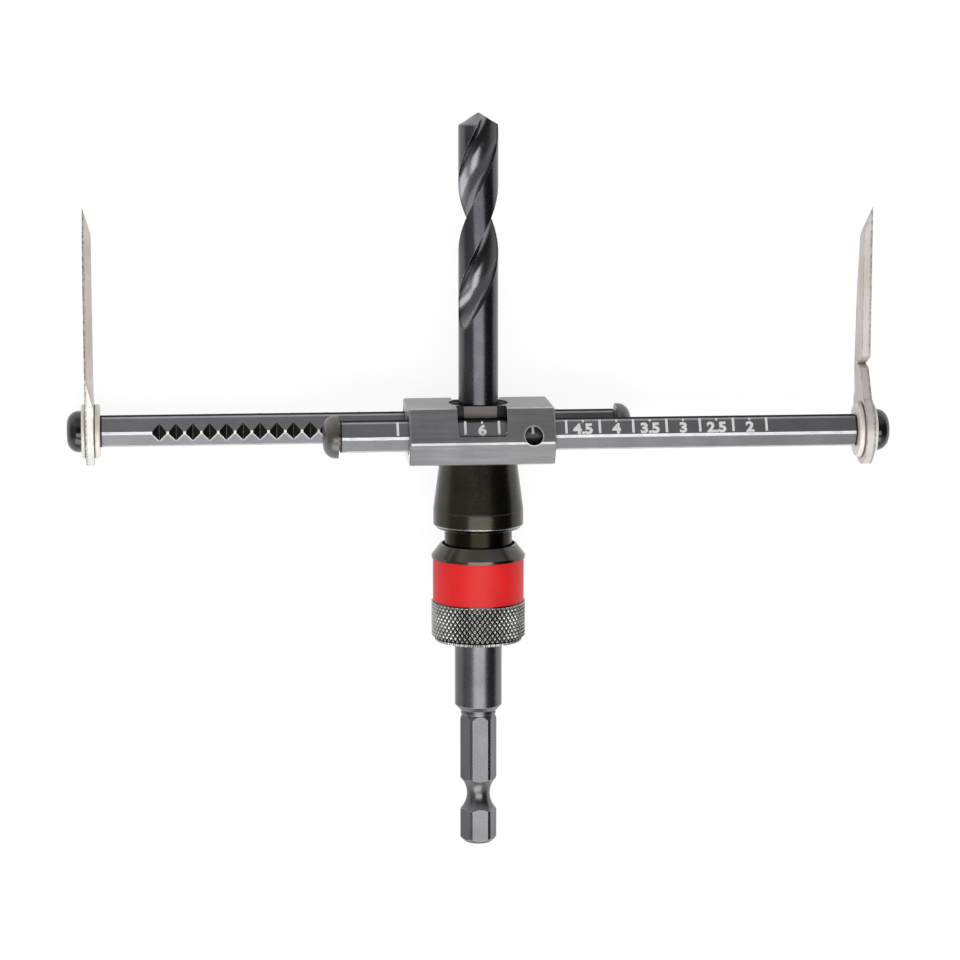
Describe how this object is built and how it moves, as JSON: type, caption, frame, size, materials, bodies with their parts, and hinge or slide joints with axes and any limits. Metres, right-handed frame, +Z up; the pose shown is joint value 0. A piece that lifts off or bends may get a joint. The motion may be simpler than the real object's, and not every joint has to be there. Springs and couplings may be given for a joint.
{
  "type": "drywall circle cutter",
  "caption": "Drill-driven circle cutter: two notched hexagonal arms with knives slide in a centre block round a twist drill, on a sliding-collar arbor with a hexagonal shank.",
  "frame": {"origin": "centre of the hexagonal shank's end face, on the tool's axis", "axes": "+Y along the tool's axis towards the drill tip, +X along the bars towards the arm whose bar lies on the window side, +Z up from the surface the cutter lies on, towards the window"},
  "size_m": [0.1554, 0.1405, 0.0244],
  "materials": {
    "satin_steel": "satin grey steel",
    "bar_steel": "satin gunmetal",
    "black_oxide": "black oxide",
    "drill_black": "black oxide, ground",
    "shank_steel": "satin dark grey",
    "screw_black": "glossy black",
    "stop_bronze": "satin brown grey",
    "washer_zinc": "bright zinc",
    "blade_steel": "ground steel",
    "spring_steel": "spring steel",
    "ball_steel": "polished",
    "band_red": "satin red"
  },
  "bodies": {
    "head": {"block": "satin_steel", "mandrel": "black_oxide", "pilot_drill": "drill_black", "drill_set_screw": "screw_black", "arbor": "shank_steel", "lock_balls": "ball_steel", "stop_ring": "spring_steel", "spring_seat": "spring_steel", "seat_ring": "spring_steel", "collar_spring": "spring_steel", "right_detent_leaf": "spring_steel", "left_detent_leaf": "spring_steel"},
    "collar": {"lock_collar": "black_oxide", "collar_band": "band_red"},
    "right_arm": {"right_bar": "bar_steel", "right_inner_washer": "washer_zinc", "right_blade": "blade_steel", "right_outer_washer": "washer_zinc", "right_blade_screw": "screw_black", "right_stop_screw": "stop_bronze"},
    "left_arm": {"left_bar": "bar_steel", "left_inner_washer": "washer_zinc", "left_blade": "blade_steel", "left_outer_washer": "washer_zinc", "left_blade_screw": "screw_black", "left_stop_screw": "stop_bronze"}
  },
  "joints": [
    {"name": "right_arm_slide", "type": "slide", "parent": "head", "child": "right_arm", "axis": [1, 0, 0], "range_m": [-0.0508, 0.0127], "deforming": ["right_detent_leaf"]},
    {"name": "left_arm_slide", "type": "slide", "parent": "head", "child": "left_arm", "axis": [-1, 0, 0], "range_m": [-0.0508, 0.0127], "deforming": ["left_detent_leaf"]},
    {"name": "collar_slide", "type": "slide", "parent": "head", "child": "collar", "axis": [0, -1, 0], "range_m": [0, 0.003], "stiffness_N_per_m": 1300, "springref_m": -0.005, "deforming": ["collar_spring"]}
  ]
}
